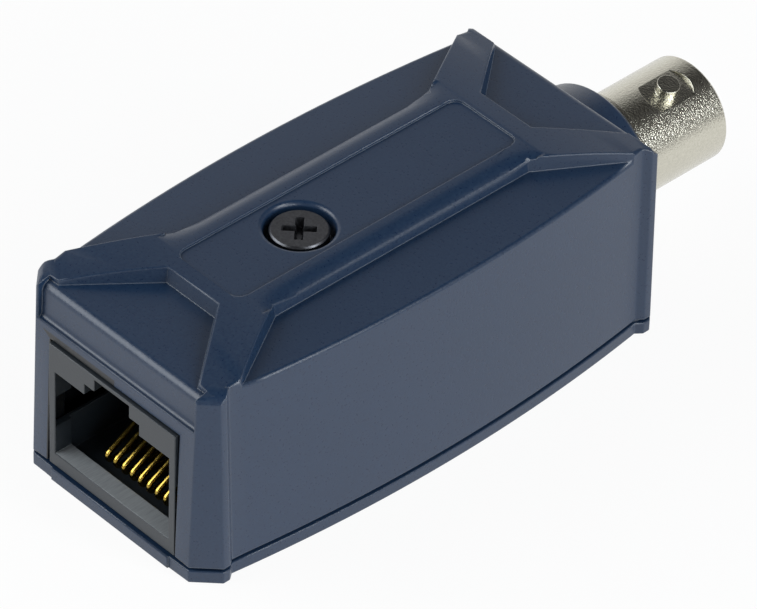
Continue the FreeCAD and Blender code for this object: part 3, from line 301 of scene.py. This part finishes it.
def dressed(node_name, rounds, merge_mm=0.002):
    """A merged and smoothly shaded copy of a CAD node, which it stands for.
    Each round is the test that picks its edges, and its size in millimetres."""
    node = frame["nodes"][node_name]
    mesh = node.data.copy()
    mesh.name = f"{node_name}_smooth"
    piece = bpy.data.objects.new(f"{node_name}_smooth", mesh)
    bpy.context.scene.collection.objects.link(piece)
    shape = bmesh.new()
    shape.from_mesh(mesh)
    bmesh.ops.remove_doubles(shape, verts=shape.verts, dist=merge_mm * MM)
    bmesh.ops.dissolve_limit(shape, angle_limit=math.radians(0.5), verts=shape.verts, edges=shape.edges,
                             delimit={"NORMAL"})
    round_faces = set()
    for picks, size_mm in rounds:
        edges = [edge for edge in shape.edges
                 if picks(edge) and not any(face in round_faces for face in edge.link_faces)]
        made = bmesh.ops.bevel(shape, geom=edges, offset=size_mm * MM, offset_type="OFFSET", segments=3,
                               profile=0.5, affect="EDGES", material=-1)
        round_faces.update(made["faces"])
    for face in shape.faces:
        face.smooth = True
    for edge in shape.edges:
        rounded = sum(face in round_faces for face in edge.link_faces)
        edge.smooth = rounded == 2 or (rounded == 0 and edge.calc_face_angle(0) < SHARP)
    shape.to_mesh(mesh)
    shape.free()
    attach(piece, "root")
    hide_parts(node_name)
    return piece


SHARP = math.radians(28)
RIM_X, RIM_Z = 10.0 * MM, 17.0 * MM
RIDGE_X, RIDGE_Y = (5.9 * MM, 6.4 * MM), 14.0 * MM
WELL_REACH = 3.8 * MM
dressed("upper_shell", ((is_panel_rim, 0.3), (is_ridge_edge, 0.22), (is_well_mouth, 0.35), (is_crest, 0.1)))
dressed("base_cover", ((is_crest, 0.1),))
dressed("jack_housing", ((is_crest, 0.06),))
dressed("bnc_shell", ((is_fine_crest, 0.05),))

def is_long_edge(edge):
    return edge.calc_face_angle(0) >= math.radians(50)


# The contact springs are drawn wire: rounded all along, and finer than their square solids
WIRE_SHARE = 0.86
for number in range(1, 9):
    spring = dressed(f"jack_contact_{number}", ((is_long_edge, 0.14),))
    low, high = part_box(f"jack_contact_{number}")
    middle = (low[0] + high[0]) / 2
    spring_shape = bmesh.new()
    spring_shape.from_mesh(spring.data)
    bmesh.ops.scale(spring_shape, vec=(WIRE_SHARE, 1, 1), verts=spring_shape.verts,
                    space=Matrix.Translation((-middle, 0, 0)))
    spring_shape.to_mesh(spring.data)
    spring_shape.free()

# The cover screw stands a little higher in its well than the modelled one, with its cross turned to the camera
SCREW_TURN, SCREW_LIFT = math.radians(25), 0.5 * MM
screw = dressed("cover_screw", ())
screw_low, screw_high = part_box("cover_screw")
screw_axis = Vector(((screw_low[0] + screw_high[0]) / 2, (screw_low[1] + screw_high[1]) / 2, 0))
HEAD_DEPTH = 1.2 * MM
screw_shape = bmesh.new()
screw_shape.from_mesh(screw.data)
bmesh.ops.rotate(screw_shape, verts=screw_shape.verts, cent=screw_axis,
                 matrix=Matrix.Rotation(SCREW_TURN, 3, "Z"))
bmesh.ops.translate(screw_shape, vec=(0, 0, SCREW_LIFT),
                    verts=[corner for corner in screw_shape.verts if corner.co.z > screw_high[2] - HEAD_DEPTH])
screw_shape.to_mesh(screw.data)
screw_shape.free()

# Floor: one plain pale sheet. What the camera sees of it is half its own white, so that the shadow stays faint
FLOOR_SIZE = 3.0
floor_mesh = bpy.data.meshes.new("studio_floor")
floor_shape = bmesh.new()
bmesh.ops.create_grid(floor_shape, x_segments=1, y_segments=1, size=FLOOR_SIZE)
floor_shape.to_mesh(floor_mesh)
floor_shape.free()
floor = bpy.data.objects.new("studio_floor", floor_mesh)
bpy.context.scene.collection.objects.link(floor)
paper, paper_tree = new_material("white_paper_sweep")
paper_diffuse = add_node(paper_tree, "ShaderNodeBsdfDiffuse", {"Color": linear("#f4f4f4")})
paper_white = add_node(paper_tree, "ShaderNodeEmission", {"Color": (1, 1, 1, 1), "Strength": 1.0})
paper_path = add_node(paper_tree, "ShaderNodeLightPath")
paper_mirrored = stretch(paper_tree, paper_path.outputs["Is Glossy Ray"], 0.0, 1.0, 0.0, 0.8)
paper_seen = stretch(paper_tree, paper_path.outputs["Is Camera Ray"], 0.0, 1.0, 0.0, 0.93)
paper_share = add_node(paper_tree, "ShaderNodeMath", {"operation": "MAXIMUM"},
                       {0: paper_mirrored, 1: paper_seen}).outputs[0]
paper_mix = add_node(paper_tree, "ShaderNodeMixShader", None,
                     {0: paper_share, 1: paper_diffuse.outputs[0], 2: paper_white.outputs[0]})
finish_material(paper_tree, paper_mix.outputs[0])
floor_mesh.materials.append(paper)

# World: a bright band round the horizon that darkens overhead, white to the camera
world = bpy.data.worlds.new("studio")
bpy.context.scene.world = world
world.use_nodes = True
sky = world.node_tree
sky.nodes.clear()
sky_place = add_node(sky, "ShaderNodeTexCoord")
sky_height = add_node(sky, "ShaderNodeSeparateXYZ", None, {0: sky_place.outputs["Generated"]})
sky_tone = ramp(sky, sky_height.outputs["Z"], 0.1, 0.9, (0.85, 0.85, 0.85, 1), (0.25, 0.25, 0.25, 1))
sky_turn = add_node(sky, "ShaderNodeVectorMath", {"operation": "DOT_PRODUCT", 1: (1.0, -0.15, 0.0)},
                    {0: sky_place.outputs["Generated"]})
sky_side = stretch(sky, sky_turn.outputs["Value"], -0.75, -0.4, 1.15, 0.34)
sky_roof = stretch(sky, sky_height.outputs["Z"], 0.62, 0.88, 1.0, 0.25)
sky_strength = add_node(sky, "ShaderNodeMath", {"operation": "MULTIPLY"}, {0: sky_side, 1: sky_roof}).outputs[0]
sky_light = add_node(sky, "ShaderNodeBackground", None, {"Color": sky_tone, "Strength": sky_strength})
sky_seen = add_node(sky, "ShaderNodeBackground", {"Color": (1, 1, 1, 1), "Strength": 1.0})
sky_path = add_node(sky, "ShaderNodeLightPath")
sky_mix = add_node(sky, "ShaderNodeMixShader", None, {0: sky_path.outputs["Is Camera Ray"],
                                                      1: sky_light.outputs[0], 2: sky_seen.outputs[0]})
add_node(sky, "ShaderNodeOutputWorld", None, {"Surface": sky_mix.outputs[0]})


def soft_box(name, place, aim, width, height, power):
    lamp = bpy.data.lights.new(name, "AREA")
    lamp.shape = "RECTANGLE"
    lamp.size = width
    lamp.size_y = height
    lamp.energy = power
    lamp.color = (0.93, 0.97, 1.0)
    thing = bpy.data.objects.new(name, lamp)
    bpy.context.scene.collection.objects.link(thing)
    thing.location = place
    thing.rotation_euler = (Vector(aim) - Vector(place)).to_track_quat("-Z", "Y").to_euler()
    return thing


HEART = (0, 0, 0.01)
soft_box("front_box", (-0.42, -0.48, 0.4), HEART, 0.6, 0.55, 4.0)
soft_box("right_box", (0.62, 0.17, 0.47), HEART, 0.18, 0.6, 3.5)
soft_box("side_fill", (0.72, -0.16, 0.24), HEART, 0.5, 0.3, 2.0)

# Camera at the photograph's angle, fitted to its edges
AZIMUTH, ELEVATION, ROLL = math.radians(45.826), math.radians(39.977), math.radians(2.057)
DISTANCE = 539.055 * MM
FOCAL_PIXELS, IMAGE_WIDTH, SENSOR = 6558.35, 757.0, 36.0
back = Vector((math.sin(AZIMUTH) * math.cos(ELEVATION), -math.cos(AZIMUTH) * math.cos(ELEVATION),
               math.sin(ELEVATION)))
right = Vector((math.cos(AZIMUTH), math.sin(AZIMUTH), 0))
up = back.cross(right)
turned_right = math.cos(ROLL) * right + math.sin(ROLL) * up
turned_up = -math.sin(ROLL) * right + math.cos(ROLL) * up
target = Vector((0, -5.625, 10.13)) * MM + turned_right * 1.668 * MM - turned_up * 1.483 * MM
camera_data = bpy.data.cameras.new("photo_camera")
camera_data.sensor_fit = "HORIZONTAL"
camera_data.sensor_width = SENSOR
camera_data.lens = FOCAL_PIXELS / IMAGE_WIDTH * SENSOR
camera_data.clip_start = 0.01
camera = bpy.data.objects.new("photo_camera", camera_data)
bpy.context.scene.collection.objects.link(camera)
turn = Matrix((turned_right, turned_up, back)).transposed().to_4x4()
turn.translation = target + back * DISTANCE
camera.matrix_world = turn
bpy.context.scene.camera = camera
bpy.context.scene.view_settings.view_transform = "Standard"
